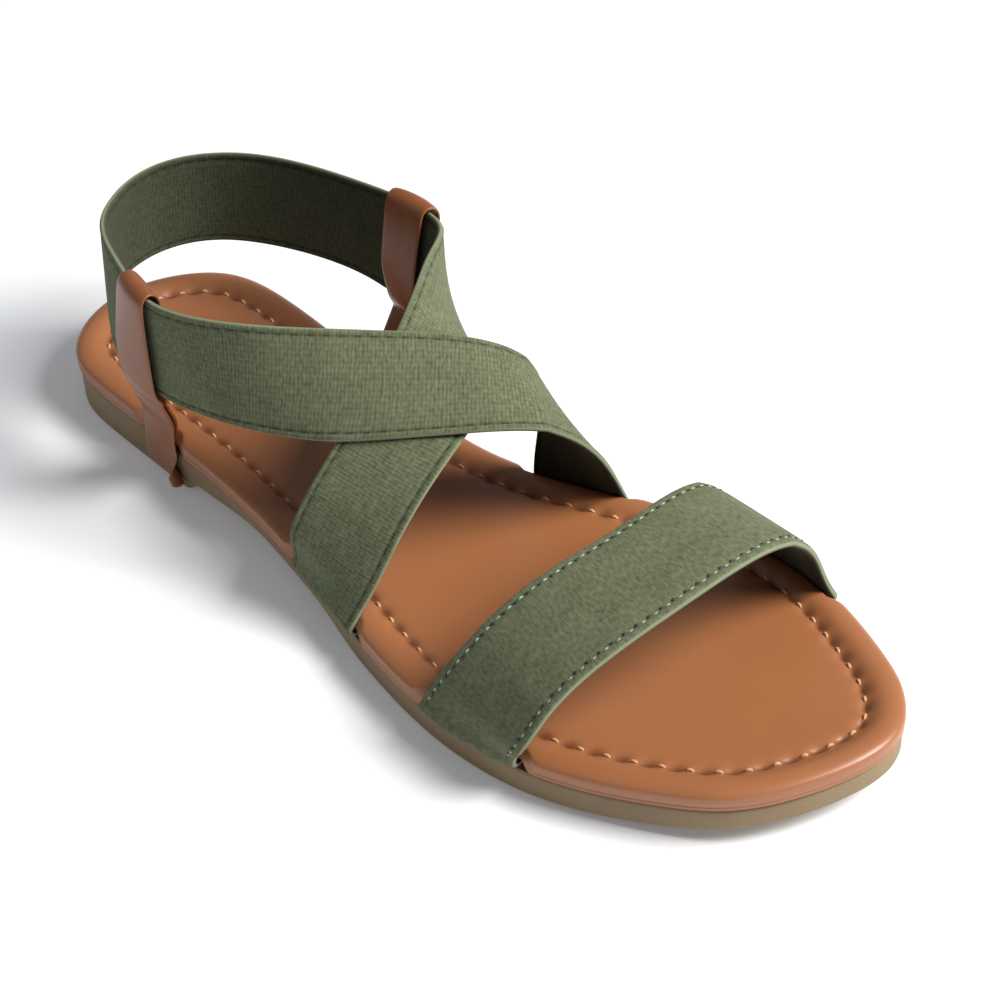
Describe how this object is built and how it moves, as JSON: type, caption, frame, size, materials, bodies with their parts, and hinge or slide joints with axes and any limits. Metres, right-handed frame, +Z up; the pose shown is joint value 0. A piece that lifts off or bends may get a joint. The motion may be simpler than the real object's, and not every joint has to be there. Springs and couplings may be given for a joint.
{
  "type": "cross strap sandal",
  "caption": "Right flat sandal with a padded footbed, a thin moulded sole, an elastic toe band and an elastic band that crosses the instep and rounds the heel through leather loops",
  "frame": {"origin": "on the floor plane under the middle of the heel, 30 mm in front of the back of the sole", "axes": "+Y from the heel to the toe, +X to the outer side of the right foot, +Z up"},
  "size_m": [0.0912, 0.2504, 0.0615],
  "materials": {
    "outsole": "matt moulded",
    "footbed": "smooth with a soft gloss",
    "elastic": "ribbed weave",
    "loop_leather": "smooth with a soft gloss"
  },
  "bodies": {
    "root": {"outsole": "outsole", "footbed": "footbed", "cross_band": "elastic", "toe_band": "elastic", "heel_loop_outer": "loop_leather", "heel_loop_inner": "loop_leather"}
  },
  "joints": []
}
